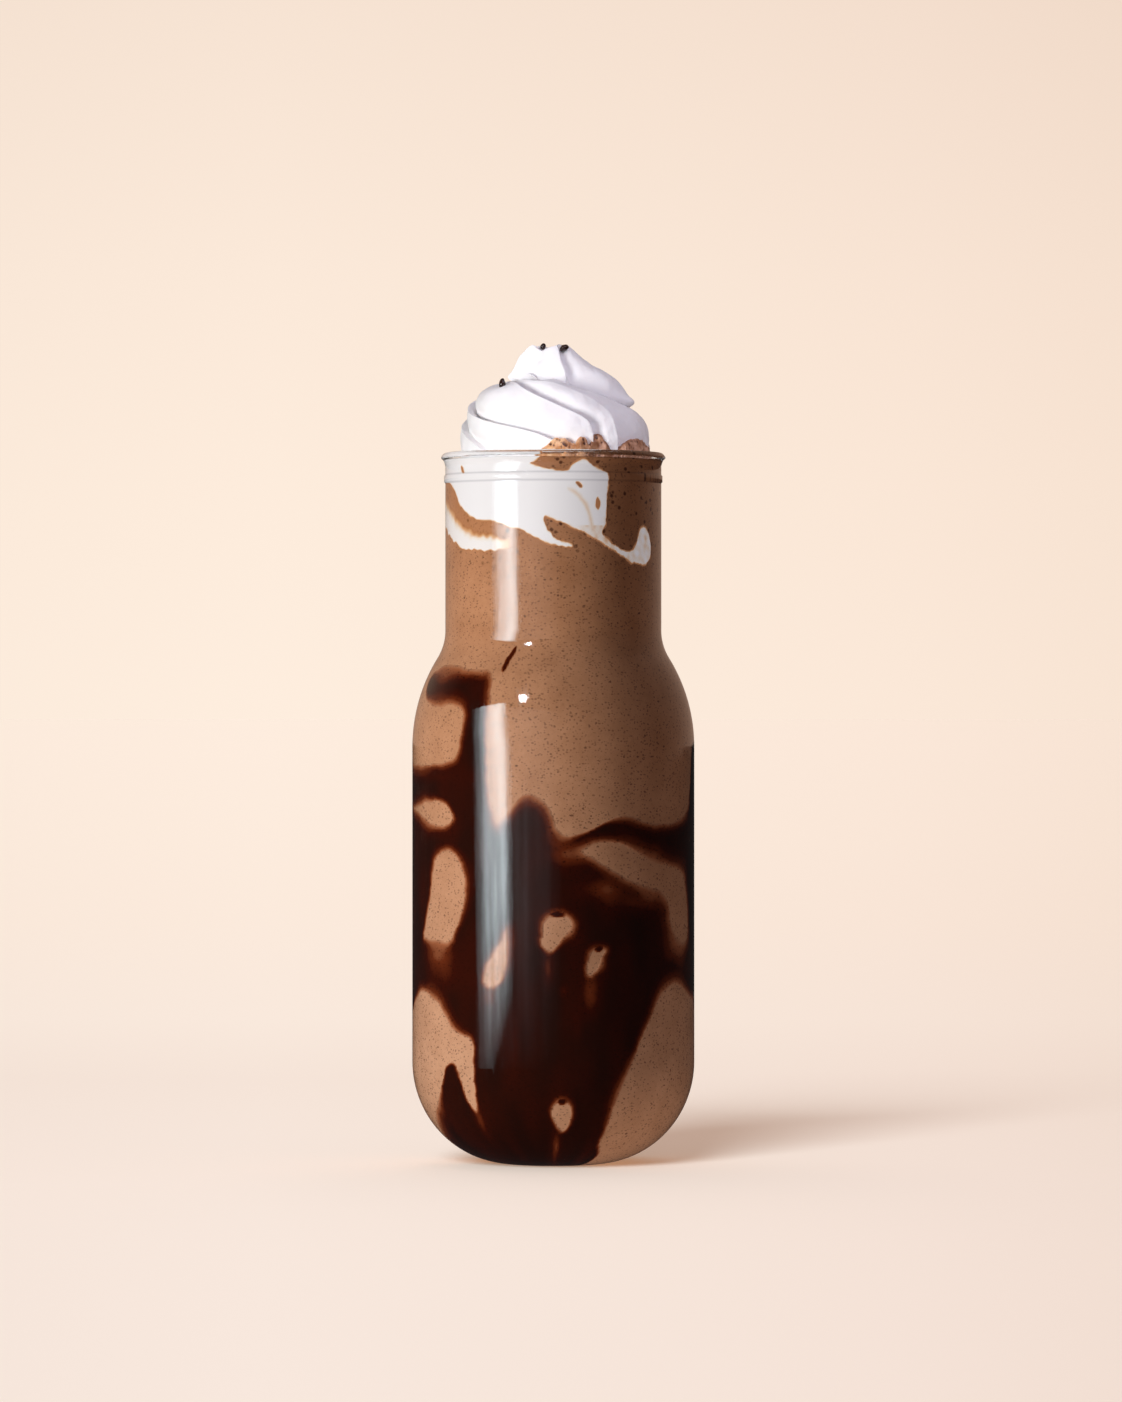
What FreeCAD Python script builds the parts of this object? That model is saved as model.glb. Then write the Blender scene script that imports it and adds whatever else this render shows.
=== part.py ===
# Chocolate milkshake in a wide-mouthed clear glass bottle, with syrup run down the inside
# of the glass and a piped swirl of whipped cream standing out of the mouth.
#
# Frame: millimetres, +Z up, origin at the middle of the foot, front towards -Y.
# Places on the wall are given as (angle, height): the angle is in degrees from the front,
# positive towards +X, and the height is in millimetres above the foot.
import FreeCAD, Part
import math
import os

from FreeCAD import Vector

# ---- Glass bottle -------------------------------------------------------------------
bottle_height = 185.3      # foot to the top of the rim
body_radius = 36.8         # outside of the body
neck_radius = 28.2         # outside of the neck
neck_length = 46.3         # top of the rim to where the neck starts to widen
neck_curve = 13.6          # hollow curve from the neck into the shoulder
shoulder_curve = 44.0      # round curve from the shoulder into the body
heel_height = 26.6         # height at which the rounded heel meets the straight body
foot_radius = 11.0         # flat foot that the bottle rests on
wall = 2.4
base_thickness = 4.0
rim_overhang = 1.1         # how far the lip turns out over the neck
rim_round = 1.15           # roundness of the lip's top edge
rim_drop = 3.4             # height over which the lip turns out
ring_drop = 6.8            # top of the rim to the middle of the raised ring
ring_height = 2.1
ring_proud = 0.3
ring_bevel = 0.25

# ---- Milkshake ----------------------------------------------------------------------
fill_drop = 1.3            # top of the rim down to the level of the drink
foam_radius = 13.0         # froth that has welled up at the front, beside the cream
foam_rise = 4.6            # top of the froth above the level of the drink
foam_angle = 42.0
foam_offset = 16.5         # middle of the froth from the bottle's axis

# ---- Whipped cream ------------------------------------------------------------------
cream_rise = 28.5          # tip of the swirl above the rim
cream_gap = 0.9            # between the foot of the swirl and the glass
cream_tip_radius = 2.6
cream_lean = -2.0          # sideways lean of the tip
cream_ridges = 8
cream_twist = 170.0        # turn of the ridges between the foot and the tip, in degrees
cream_groove = 0.17        # depth of the grooves, as a share of the radius there
ridge_lean = 1.45          # above 1 the crests lean over the groove below them
dome_fullness = 0.75       # below 1 the swirl is rounder, above 1 more pointed
swirl_levels = 13
points_per_ridge = 8

# Lower edge of the cream against the glass, as (angle, depth below the rim)
cream_edge = [(-100, 18), (-72, 24), (-48, 26), (-22, 20.5), (2, 22.5), (24, 24.5),
              (50, 26), (66, 28.5), (71, 22), (55, 20), (40, 22.5), (30, 19), (33, 6)]

# ---- Chocolate syrup ----------------------------------------------------------------
syrup_depth = 1.2          # thickness of the syrup that clings to the glass

# Outline of the syrup on the front half: over the top from the left side to the right ...
syrup_top = [(-100, 104), (-62, 103.6), (-44, 105), (-42, 117), (-56, 120.5), (-70, 123),
             (-52, 128.5), (-31, 127), (-29, 112), (-25, 92), (-10, 96), (4, 85.5),
             (28, 90.5), (62, 89), (75, 100), (100, 111)]
# ... and back under the bottom edge
syrup_bottom = [(100, 44), (70, 46.5), (62, 48), (49, 44), (36, 30), (27, 16), (26, 0),
                (-64, 0), (-58, 14), (-46, 27.5), (-37, 17), (-35, 33), (-48, 37),
                (-67, 45.5), (-100, 40)]
# Openings where the drink shows through the syrup
syrup_windows = [
    [(-76, 91), (-62, 95.2), (-47, 92), (-58, 88)],
    [(-50, 82.5), (-61, 77), (-67, 61), (-46, 59), (-39, 74)],
    [(12, 82), (28, 84.4), (68, 76), (71, 61), (57, 60), (53, 70), (30, 75)],
    [(-5, 65), (3, 67.6), (9, 65), (-2, 57)],
    [(14, 56.5), (18, 58.4), (22, 56.5), (18, 51.5)],
    [(-1, 18.5), (4, 20.4), (9, 17.5), (3, 10)],
]
# The same for the back half, where the angle is measured from the back towards +X
syrup_back_top = [(-100, 104), (-60, 101), (-38, 112), (-28, 122), (-16, 110), (4, 92),
                  (24, 98), (38, 118), (50, 116), (66, 104), (100, 111)]
syrup_back_bottom = [(100, 44), (64, 38), (46, 22), (34, 0), (-44, 0), (-50, 16),
                     (-66, 30), (-100, 40)]
syrup_back_windows = [
    [(-62, 88), (-48, 92), (-36, 82), (-40, 58), (-56, 56)],
    [(-8, 76), (4, 82), (14, 70), (8, 46), (-6, 48)],
    [(34, 90), (50, 92), (58, 76), (52, 62), (38, 70)],
    [(-22, 34), (-14, 40), (-6, 32), (-14, 22)],
]

# ---- Worked out from the sizes above ------------------------------------------------
shoulder_turn = math.acos(1 - (body_radius - neck_radius) / (neck_curve + shoulder_curve))
shoulder_top = bottle_height - neck_length
shoulder_bottom = shoulder_top - (neck_curve + shoulder_curve) * math.sin(shoulder_turn)
ring_middle = bottle_height - ring_drop
fill_level = bottle_height - fill_drop
cream_radius = neck_radius - wall - cream_gap
cream_height = cream_rise + fill_drop
reach = 2 * body_radius    # longer than anything inside the bottle is wide
axis_up = Vector(0, 0, 1)


def at(radius, height):
    """Point of a profile that is turned about the bottle's axis."""
    return Vector(radius, 0, height)


def quarter(start, corner, end):
    """Quarter of an ellipse that is tangent to the two lines through its corner."""
    curve = Part.BSplineCurve()
    weights = [1, math.sqrt(0.5), 1]
    curve.buildFromPolesMultsKnots([start, corner, end], [3, 3], [0, 1], False, 2, weights)
    return curve.toShape()


def arc(middle, radius, first, last):
    """Arc of a profile between two angles, in radians from the +X direction."""
    points = []
    for angle in (first, (first + last) / 2, last):
        points.append(middle + at(radius * math.cos(angle), radius * math.sin(angle)))
    return Part.Arc(*points).toShape()


def line(start, end):
    return Part.LineSegment(start, end).toShape()


def shoulder_edges(inset):
    """The two curves of the shoulder, from the body up to the neck, moved in by inset."""
    wide_middle = at(body_radius - shoulder_curve, shoulder_bottom)
    tight_middle = at(neck_radius + neck_curve, shoulder_top)
    wide = arc(wide_middle, shoulder_curve - inset, 0, shoulder_turn)
    tight = arc(tight_middle, neck_curve + inset, math.pi + shoulder_turn, math.pi)
    return [wide, tight]


def side_edges(inset, floor, neck_end):
    """One side of the bottle's wall, from the axis at the floor up to neck_end."""
    body = body_radius - inset
    neck = neck_radius - inset
    floor_edge = line(at(0, floor), at(foot_radius, floor))
    heel = quarter(at(foot_radius, floor), at(body, floor), at(body, heel_height))
    straight = line(at(body, heel_height), at(body, shoulder_bottom))
    neck_edge = line(at(neck, shoulder_top), at(neck, neck_end))
    return [floor_edge, heel, straight] + shoulder_edges(inset) + [neck_edge]


def ring_edges():
    """The raised ring round the neck and the stretch of neck between it and the lip."""
    half = ring_height / 2
    proud = neck_radius + ring_proud
    corners = [
        at(neck_radius, ring_middle - half),
        at(proud, ring_middle - half + ring_bevel),
        at(proud, ring_middle + half - ring_bevel),
        at(neck_radius, ring_middle + half),
        at(neck_radius, bottle_height - rim_drop),
    ]
    return [line(a, b) for a, b in zip(corners, corners[1:])]


def rim_edge():
    """The lip: out from the neck, round over the top and down to the inside of the neck."""
    inside = neck_radius - wall
    points = [
        at(neck_radius, bottle_height - rim_drop),
        at(neck_radius + 0.4 * rim_overhang, bottle_height - 0.6 * rim_drop),
        at(neck_radius + rim_overhang, bottle_height - rim_round),
        at(neck_radius + rim_overhang - rim_round, bottle_height),
        at(inside + rim_overhang, bottle_height - rim_round),
        at(inside, bottle_height - rim_drop),
    ]
    curve = Part.BSplineCurve()
    curve.interpolate(Points=points, InitialTangent=axis_up, FinalTangent=-axis_up)
    return curve.toShape()


def turned(edges):
    """Solid made by turning a closed profile about the bottle's axis."""
    profile = Part.Wire(Part.__sortEdges__(edges))
    return Part.Face(profile).revolve(Vector(0, 0, 0), axis_up, 360)


def closed_profile(edges, top):
    """Adds the flat top and the axis to a side, which closes it into a full round solid."""
    radius = edges[-1].BoundBox.XMax
    floor = edges[0].BoundBox.ZMin
    return edges + [line(at(radius, top), at(0, top)), line(at(0, top), at(0, floor))]


def make_glass():
    outside = side_edges(0, 0, ring_middle - ring_height / 2)
    inside = side_edges(wall, base_thickness, bottle_height - rim_drop)
    axis = line(at(0, 0), at(0, base_thickness))
    return turned(outside + ring_edges() + [rim_edge()] + inside + [axis])


def inside_of(glass, level):
    """The space inside the glass up to a level."""
    block = Part.makeCylinder(reach, level).cut(glass)
    middle = at(0, level / 2)
    return next(solid for solid in block.Solids if solid.isInside(middle, 0.01, False))


def inner_radius(height):
    """Radius of the inside of the glass at a height."""
    if height >= shoulder_top:
        return neck_radius - wall
    joint = shoulder_bottom + shoulder_curve * math.sin(shoulder_turn)
    if height > joint:
        radius = neck_curve + wall
        drop = min(shoulder_top - height, radius)
        return neck_radius + neck_curve - math.sqrt(radius**2 - drop**2)
    if height > shoulder_bottom:
        radius = shoulder_curve - wall
        rise = min(height - shoulder_bottom, radius)
        return body_radius - shoulder_curve + math.sqrt(radius**2 - rise**2)
    if height >= heel_height:
        return body_radius - wall
    share = min((heel_height - height) / (heel_height - base_thickness), 1)
    return foot_radius + (body_radius - wall - foot_radius) * math.sqrt(1 - share**2)


def on_wall(angle, height):
    """Point of an outline, seen square on from the front, that lies on the inner wall."""
    if abs(angle) > 90:
        return Vector(math.copysign(reach, angle), 0, height)
    radius = inner_radius(max(height, heel_height))
    return Vector(radius * math.sin(math.radians(angle)), 0, height)


def smooth(points, closed):
    curve = Part.BSplineCurve()
    curve.interpolate(Points=points, PeriodicFlag=closed)
    return curve.toShape()


def window_face(window):
    return Part.Face(Part.Wire(smooth([on_wall(*place) for place in window], True)))


def curtain(top, bottom, windows, side):
    """Half of the syrup's outline, pushed through the front (-1) or the back (1) half."""
    upper = smooth([on_wall(*place) for place in top], False)
    lower = smooth([on_wall(*place) for place in bottom], False)
    ends = [
        line(upper.Vertexes[-1].Point, lower.Vertexes[0].Point),
        line(lower.Vertexes[-1].Point, upper.Vertexes[0].Point),
    ]
    face = Part.Face(Part.Wire(Part.__sortEdges__([upper, lower] + ends)))
    face = face.cut([window_face(window) for window in windows])
    return face.extrude(Vector(0, side * reach, 0))


def make_syrup(space, cream):
    inner = side_edges(wall + syrup_depth, base_thickness + syrup_depth, fill_level)
    skin = space.cut(turned(closed_profile(inner, fill_level)))
    front = curtain(syrup_top, syrup_bottom, syrup_windows, -1)
    back = curtain(syrup_back_top, syrup_back_bottom, syrup_back_windows, 1)
    return skin.common(front.fuse(back)).cut(cream)


def ridge(share):
    """Height of a ridge across its width: 0 in the grooves on both sides, 1 on the crest."""
    return math.sin(math.pi * share**ridge_lean)


def swirl_section(level):
    """Points round the swirl at a share of its height, from a groove back to that groove."""
    dome = (1 - level**2) ** dome_fullness
    radius = cream_tip_radius + (cream_radius - cream_tip_radius) * dome
    turn = math.radians(cream_twist) * (1 - level)
    middle = Vector(cream_lean * level**2, 0, fill_level + cream_height * level)
    steps = cream_ridges * points_per_ridge
    points = []
    for step in range(steps + 1):
        share = step % points_per_ridge / points_per_ridge
        angle = turn + 2 * math.pi * step / steps
        reached = radius * (1 - cream_groove * (1 - ridge(share)))
        points.append(middle + Vector(math.sin(angle), -math.cos(angle), 0) * reached)
    return points


def make_swirl():
    levels = [math.sin(math.pi / 2 * step / (swirl_levels - 1)) for step in range(swirl_levels)]
    surface = Part.BSplineSurface()
    surface.interpolate([swirl_section(level) for level in levels])
    side = surface.toShape()
    ends = [edge for edge in side.Edges if edge.BoundBox.ZLength < 0.001]
    caps = [Part.Face(Part.Wire(edge)) for edge in ends]
    swirl = Part.Solid(Part.Shell([side] + caps))
    swirl.fix(0.0001, 0.0001, 0.001)
    return swirl


def make_cream(space, foam):
    """The swirl, and the cream that has been pushed down between the drink and the glass."""
    edge = [on_wall(angle, bottle_height - depth) for angle, depth in cream_edge]
    lower = smooth(edge, False)
    above = fill_level + cream_rise
    corners = [edge[-1], Vector(edge[-1].x, 0, above), Vector(edge[0].x, 0, above), edge[0]]
    sides = [line(a, b) for a, b in zip(corners, corners[1:])]
    face = Part.Face(Part.Wire(Part.__sortEdges__([lower] + sides)))
    through = face.extrude(Vector(0, 2 * reach, 0)).translate(Vector(0, -reach, 0))
    plug = space.common(through)
    return plug.fuse(make_swirl()).removeSplitter().cut(foam)


def make_foam():
    """Froth that stands above the level of the drink, inside the circle of the neck."""
    angle = math.radians(foam_angle)
    top = fill_level + foam_rise
    middle = Vector(math.sin(angle), -math.cos(angle), 0) * foam_offset
    ball = Part.makeSphere(foam_radius, middle + Vector(0, 0, top - foam_radius))
    mouth = Part.makeCylinder(neck_radius - wall, foam_rise, at(0, fill_level))
    return ball.common(mouth)


def main():
    glass = make_glass()
    space = inside_of(glass, fill_level)
    foam = make_foam()
    cream = make_cream(space, foam)
    syrup = make_syrup(space, cream)
    drink = space.fuse(foam).cut(cream).cut(syrup).removeSplitter()
    nodes = {
        "glass_bottle": glass,
        "milkshake": drink,
        "whipped_cream": cream,
        "chocolate_syrup": syrup,
    }
    os.makedirs("parts", exist_ok=True)
    for name, shape in nodes.items():
        print(name, len(shape.Solids), "solid(s)", round(shape.Volume), "mm3", shape.isValid())
        shape.exportStep("parts/" + name + ".step")


main()
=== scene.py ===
"""Looks of a chocolate milkshake in a clear glass bottle, built round its CAD frame.

Shapes are worked out in millimetres and turned into metres when a mesh is made. A place on
the wall is an (angle, height): degrees from the front, positive towards +X, and millimetres
above the foot.
"""
import math

import bpy
import numpy as np
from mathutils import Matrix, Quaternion, Vector


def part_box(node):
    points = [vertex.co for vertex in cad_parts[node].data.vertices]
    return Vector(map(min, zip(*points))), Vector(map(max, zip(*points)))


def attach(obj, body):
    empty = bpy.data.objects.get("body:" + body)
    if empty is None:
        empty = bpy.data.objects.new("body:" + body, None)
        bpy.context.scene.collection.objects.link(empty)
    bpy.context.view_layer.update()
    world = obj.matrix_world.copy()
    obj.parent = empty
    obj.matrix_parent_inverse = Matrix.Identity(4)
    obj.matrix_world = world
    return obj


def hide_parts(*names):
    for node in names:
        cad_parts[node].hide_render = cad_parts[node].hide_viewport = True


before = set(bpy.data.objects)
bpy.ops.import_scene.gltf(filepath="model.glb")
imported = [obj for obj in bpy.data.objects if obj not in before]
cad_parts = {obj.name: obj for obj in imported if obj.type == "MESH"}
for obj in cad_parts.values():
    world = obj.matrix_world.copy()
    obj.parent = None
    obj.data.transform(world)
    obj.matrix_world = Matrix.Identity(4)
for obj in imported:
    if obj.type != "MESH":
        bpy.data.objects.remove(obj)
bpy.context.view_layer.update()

MM = 0.001
glass_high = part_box("glass_bottle")[1]
cream_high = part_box("whipped_cream")[1]

# ---- Sizes of the bottle, the same as in the CAD model ----
rim_top = glass_high.z / MM
body_radius = glass_high.x / MM
neck_radius = 28.2
neck_length = 46.3
neck_curve = 13.6
shoulder_curve = 44
heel_height = 26.6
foot_radius = 11
wall = 2.4
base_thickness = 4
rim_overhang = 1.1
rim_round = 1.15
rim_drop = 3.4
ring_drop = 6.8
ring_height = 2.1
ring_proud = 0.3
ring_bevel = 0.25
fill_level = rim_top - 1.3
cream_top = cream_high.z / MM

shoulder_turn = math.acos(1 - (body_radius - neck_radius) / (neck_curve + shoulder_curve))
shoulder_top = rim_top - neck_length
shoulder_bottom = shoulder_top - (neck_curve + shoulder_curve) * math.sin(shoulder_turn)

# How far the contents reach into the wall, so that no air gap shows
drink_reach = 0.1
film_reach = 0.22
film_depth = 1.4


# ---- Numbers ----
def waves(points, size, seed, count=10):
    """A smooth random field of about -1 to 1, with swells near size, at (..., 3) points."""
    rng = np.random.default_rng(seed)
    total = np.zeros(points.shape[:-1])
    for _ in range(count):
        direction = rng.normal(size=3)
        direction *= 2 * math.pi * rng.uniform(0.6, 1.5) / size / np.linalg.norm(direction)
        total += np.sin(points @ direction + rng.uniform(0, 2 * math.pi))
    return total / math.sqrt(count)


def ease(values, low, high):
    """0 below low, 1 above high, smooth between."""
    share = np.clip((values - low) / (high - low), 0, 1)
    return share * share * (3 - 2 * share)


def unit(vectors):
    """The same directions, each of length 1."""
    return vectors / np.maximum(np.linalg.norm(vectors, axis=1, keepdims=True), 1e-6)


def flow_curve(knots, values, wanted):
    """Smooth curve through the values at the knots (Catmull-Rom), read at wanted."""
    knots, values = np.asarray(knots, float), np.asarray(values, float)
    slopes = np.gradient(values, knots, axis=0)
    i = np.clip(np.searchsorted(knots, wanted) - 1, 0, len(knots) - 2)
    step = knots[i + 1] - knots[i]
    t = np.clip((wanted - knots[i]) / step, 0, 1)
    if values.ndim > 1:
        step, t = step[:, None], t[:, None]
    square, cube = t * t, t * t * t
    return (
        (2 * cube - 3 * square + 1) * values[i]
        + (cube - 2 * square + t) * step * slopes[i]
        + (3 * square - 2 * cube) * values[i + 1]
        + (cube - square) * step * slopes[i + 1]
    )


def loop_curve(corners, per_span=7):
    """Closed smooth outline through its corners."""
    count = len(corners)
    overlapping = np.vstack([corners[-2:], corners, corners[:3]])
    wanted = np.arange(count * per_span) / per_span
    return flow_curve(np.arange(-2, count + 3), overlapping, wanted)


def inside_depth(places, outline):
    """How deep each place lies inside a closed outline, negative outside it."""
    nearest = np.full(len(places), 1e9)
    inside = np.zeros(len(places), bool)
    for a, b in zip(outline, np.roll(outline, -1, 0)):
        along = b - a
        share = np.clip((places - a) @ along / max(along @ along, 1e-9), 0, 1)
        gap = places - a - share[:, None] * along
        nearest = np.minimum(nearest, (gap * gap).sum(1))
        crosses = (a[1] > places[:, 1]) != (b[1] > places[:, 1])
        rise = b[1] - a[1] if abs(b[1] - a[1]) > 1e-9 else 1e-9
        inside ^= crosses & (places[:, 0] < a[0] + (places[:, 1] - a[1]) * (b[0] - a[0]) / rise)
    return np.where(inside, 1, -1) * np.sqrt(nearest)


# ---- Meshes ----
def add_object(name, data):
    thing = bpy.data.objects.new(name, data)
    bpy.context.scene.collection.objects.link(thing)
    return thing


def make_piece(name, points, faces, material, slot, replaced=None, fields=None, flat=0):
    """A smooth mesh piece from points in mm and lists of equal-sided faces.

    The last faces, as many as flat says, are shaded flat.
    """
    group = topping if points[:, 2].max() > rim_top + 1 else lit[slot]
    mesh = bpy.data.meshes.new(name)
    faces = [face for batch in faces for face in batch.tolist()]
    mesh.from_pydata((points * MM).tolist(), [], faces)
    mesh.polygons.foreach_set("use_smooth", np.arange(len(faces)) < len(faces) - flat)
    mesh.validate()
    for field, values in (fields or {}).items():
        layer = mesh.attributes.new(field, "FLOAT", "POINT")
        layer.data.foreach_set("value", np.asarray(values, np.float32))
    mesh.materials.append(material)
    piece = add_object(name, mesh)
    group.objects.link(piece)
    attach(piece, "root")
    if replaced:
        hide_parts(replaced)
    return piece


def grid_faces(rows, columns, closed):
    """Quads of a grid of rows and columns, which closes on itself along its rows or not."""
    across = columns if closed else columns - 1
    row, column = np.meshgrid(np.arange(rows - 1), np.arange(across), indexing="ij")
    beside = (column + 1) % columns
    quads = [row * columns + column, row * columns + beside,
             (row + 1) * columns + beside, (row + 1) * columns + column]
    return np.stack(quads, -1).reshape(-1, 4)


def turned(radius, turn, height):
    """Points at a radius, at a turn in radians from the front, and at a height."""
    return np.stack([radius * np.sin(turn), -radius * np.cos(turn), height], -1)


def lathe(profile, segments):
    """Points and faces of a profile of (radius, height) turned about the axis, ends closed."""
    turn = np.linspace(0, 2 * math.pi, segments, endpoint=False)
    ring = profile[1:-1]
    points = turned(ring[:, :1], turn, np.repeat(ring[:, 1:], segments, 1)).reshape(-1, 3)
    return close_ends(points, len(ring), segments, profile[0, 1], profile[-1, 1])


def close_ends(points, rows, columns, first_height, last_height):
    """Adds a middle point to the first and last rows of a closed grid, and all its faces."""
    low, high = points[:columns].mean(0), points[-columns:].mean(0)
    low[2], high[2] = first_height, last_height
    count = len(points)
    points = np.vstack([points, low, high])
    column = np.arange(columns)
    beside = (column + 1) % columns
    top = (rows - 1) * columns
    fans = np.vstack([
        np.stack([beside, column, np.full(columns, count)], 1),
        np.stack([top + column, top + beside, np.full(columns, count + 1)], 1),
    ])
    return points, [grid_faces(rows, columns, True), fans]


def spread(profile, spacing):
    """The same profile with its points evenly spaced."""
    steps = np.linalg.norm(np.diff(profile, axis=0), axis=1)
    length = np.concatenate([[0], np.cumsum(steps)])
    wanted = np.linspace(0, length[-1], max(2, round(length[-1] / spacing)))
    return np.stack([np.interp(wanted, length, profile[:, k]) for k in (0, 1)], 1)


def side(inset, floor):
    """The bottle's heel, body, shoulder and neck, moved in by inset, as (radius, height)."""
    body, neck = body_radius - inset, neck_radius - inset
    turn = np.linspace(0, math.pi / 2, 32)
    heel = np.stack([
        foot_radius + (body - foot_radius) * np.sin(turn),
        heel_height - (heel_height - floor) * np.cos(turn),
    ], 1)
    turn = np.linspace(0, shoulder_turn, 20)
    wide = np.stack([
        body_radius - shoulder_curve + (shoulder_curve - inset) * np.cos(turn),
        shoulder_bottom + (shoulder_curve - inset) * np.sin(turn),
    ], 1)
    turn = turn[::-1]
    tight = np.stack([
        neck_radius + neck_curve - (neck_curve + inset) * np.cos(turn),
        shoulder_top - (neck_curve + inset) * np.sin(turn),
    ], 1)
    up = np.array([[neck, rim_top - rim_drop]])
    return np.vstack([heel, wide, tight[1:], up])


def rim():
    """The lip, from the outside of the neck over the top to the inside."""
    inside = neck_radius - wall
    corners = np.array([
        [neck_radius, rim_top - rim_drop],
        [neck_radius + 0.4 * rim_overhang, rim_top - 0.6 * rim_drop],
        [neck_radius + rim_overhang, rim_top - rim_round],
        [neck_radius + rim_overhang - rim_round, rim_top],
        [inside + rim_overhang, rim_top - rim_round],
        [inside, rim_top - rim_drop],
    ])
    return flow_curve(np.arange(6), corners, np.linspace(0, 5, 36))


def inner_line():
    """The inside of the glass, from its floor to the fill level, as (radius, height)."""
    flare = rim()[::-1]
    flare = flare[1: np.argmax(flare[:, 1])]
    top = np.array([[np.interp(fill_level, flare[:, 1], flare[:, 0]), fill_level]])
    return np.vstack([side(wall, base_thickness), flare[flare[:, 1] < fill_level - 0.05], top])


def outwards(line):
    """The way out of the contents at each point of a line that runs upwards."""
    way = unit(np.gradient(line, axis=0))
    return np.stack([way[:, 1], -way[:, 0]], 1)


def inner_radius(height):
    """Radius of the inside of the glass at a height."""
    line = inner_line()
    return np.interp(height, line[:, 1], line[:, 0])


# ---- Materials ----
class Shader:
    """The nodes of a material, a lamp or the world, with short ways to add and join them."""

    def __init__(self, owner):
        owner.use_nodes = True
        self.owner = owner
        self.tree = owner.node_tree
        self.tree.nodes.clear()

    def add(self, kind, inputs=None, output=0, **settings):
        """Adds a node, sets it, joins its inputs, and returns one of its outputs."""
        node = self.tree.nodes.new("ShaderNode" + kind)
        for setting, value in settings.items():
            setattr(node, setting, value)
        for key, value in (inputs or {}).items():
            if isinstance(value, bpy.types.NodeSocket):
                self.tree.links.new(value, node.inputs[key])
            else:
                node.inputs[key].default_value = value
        return node.outputs[output] if len(node.outputs) else node

    def place(self):
        """Object coordinates, in metres."""
        return self.add("TexCoord", output=3)

    def part(self, vector, k):
        """The x, y or z of a vector, for k of 0, 1 or 2."""
        return self.add("SeparateXYZ", {0: vector}, output=k)

    def noise(self, place, scale, detail=2):
        return self.add("TexNoise", {"Vector": place, "Scale": scale, "Detail": detail})

    def field(self, name):
        """A number that is stored at each point of the mesh."""
        return self.add("Attribute", attribute_name=name, output=2)

    def ray(self, kind):
        return self.add("LightPath").node.outputs[f"Is {kind} Ray"]

    def ramp(self, factor, stops):
        """A colour ramp through (place, colour) stops."""
        colour = self.add("ValToRGB", {0: factor})
        elements = colour.node.color_ramp.elements
        elements[0].position, elements[0].color = stops[0][0], (*stops[0][1], 1)
        elements[1].position, elements[1].color = stops[-1][0], (*stops[-1][1], 1)
        for place, shade in stops[1:-1]:
            elements.new(place).color = (*shade, 1)
        return colour

    def levels(self, factor, stops):
        """A ramp of greys through (place, level) stops."""
        return self.ramp(factor, [(place, (level,) * 3) for place, level in stops])

    def mix(self, factor, first, second, blend="MIX"):
        colours = {0: factor, 6: first, 7: second}
        for key in (6, 7):
            if isinstance(colours[key], tuple):
                colours[key] = (*colours[key], 1)
        return self.add("Mix", colours, output=2, data_type="RGBA", blend_type=blend)

    def tint(self, colour, by):
        return self.mix(1, colour, by, "MULTIPLY")

    def math(self, operation, first, second=0):
        return self.add("Math", {0: first, 1: second}, operation=operation)

    def times(self, first, second):
        return self.math("MULTIPLY", first, second)

    def fade(self, value, low, high, first=0, last=1):
        """value from low to high becomes first to last, held at the ends."""
        return self.add("MapRange", {0: value, 1: low, 2: high, 3: first, 4: last})

    def bump(self, height, strength, distance=0.0002):
        return self.add("Bump", {"Strength": strength, "Distance": distance, "Height": height})

    def finish(self, surface, kind="Material"):
        self.add("Output" + kind, {"Surface": surface})
        return self.owner

    def coat(self, colour, roughness, specular, more=None):
        """Ends a material that light doesn't go through."""
        return self.finish(self.add("BsdfPrincipled", {
            "Base Color": colour, "Roughness": roughness, "Specular IOR Level": specular,
            **(more or {})}))


def new_shader(name):
    return Shader(bpy.data.materials.new(name))


# What lies against the glass has no gloss of its own: (roughness, specular level)
behind_glass = (0.6, 0)


def drink_colour(shader):
    """Milky brown with soft mottling, fine dark specks and larger bubbles near the cream."""
    place = shader.place()
    height = shader.part(place, 2)
    tone = shader.math("ADD", shader.times(shader.noise(place, 130, 3), 0.7),
                       shader.times(shader.noise(place, 900), 0.3))
    base = shader.ramp(shader.fade(height, 0, 0.185), [
        (0.05, (0.72, 0.42, 0.265)), (0.3, (0.64, 0.345, 0.205)),
        (0.7, (0.575, 0.285, 0.15)), (1, (0.55, 0.255, 0.125)),
    ])
    mottling = shader.ramp(tone, [(0.3, (0.8, 0.76, 0.72)), (0.7, (1, 1, 1))])
    colour = shader.tint(base, mottling)
    bend = shader.noise(place, 1700, 1).node.outputs["Color"]
    bent = shader.add("VectorMath", {0: bend, 1: (0.0007, 0.0007, 0.0004), 2: place},
                      operation="MULTIPLY_ADD")
    squat = shader.add("Mapping", {"Vector": bent, "Scale": (1, 1, 1.3)})
    for scale, widest, strength in ((1250, 0.36, 0.52), (600, 0.15, 0.76)):
        cell = shader.add("TexVoronoi", {"Vector": squat, "Scale": scale})
        chance = shader.add("SeparateColor", {0: cell.node.outputs["Color"]})
        speck = shader.math("ADD", cell, shader.times(chance, -widest))
        speck = shader.fade(speck, 0, 0.1, strength, 0)
        colour = shader.mix(speck, colour, (0.125, 0.056, 0.035))
    near_cream = shader.fade(height, 0.15, 0.166)
    cell = shader.add("TexVoronoi", {"Vector": place, "Scale": 400, "Randomness": 1})
    bubble = shader.times(shader.fade(cell, 0.14, 0.26, 0.9, 0), near_cream)
    return shader.mix(bubble, colour, (0.1, 0.035, 0.018))


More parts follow.
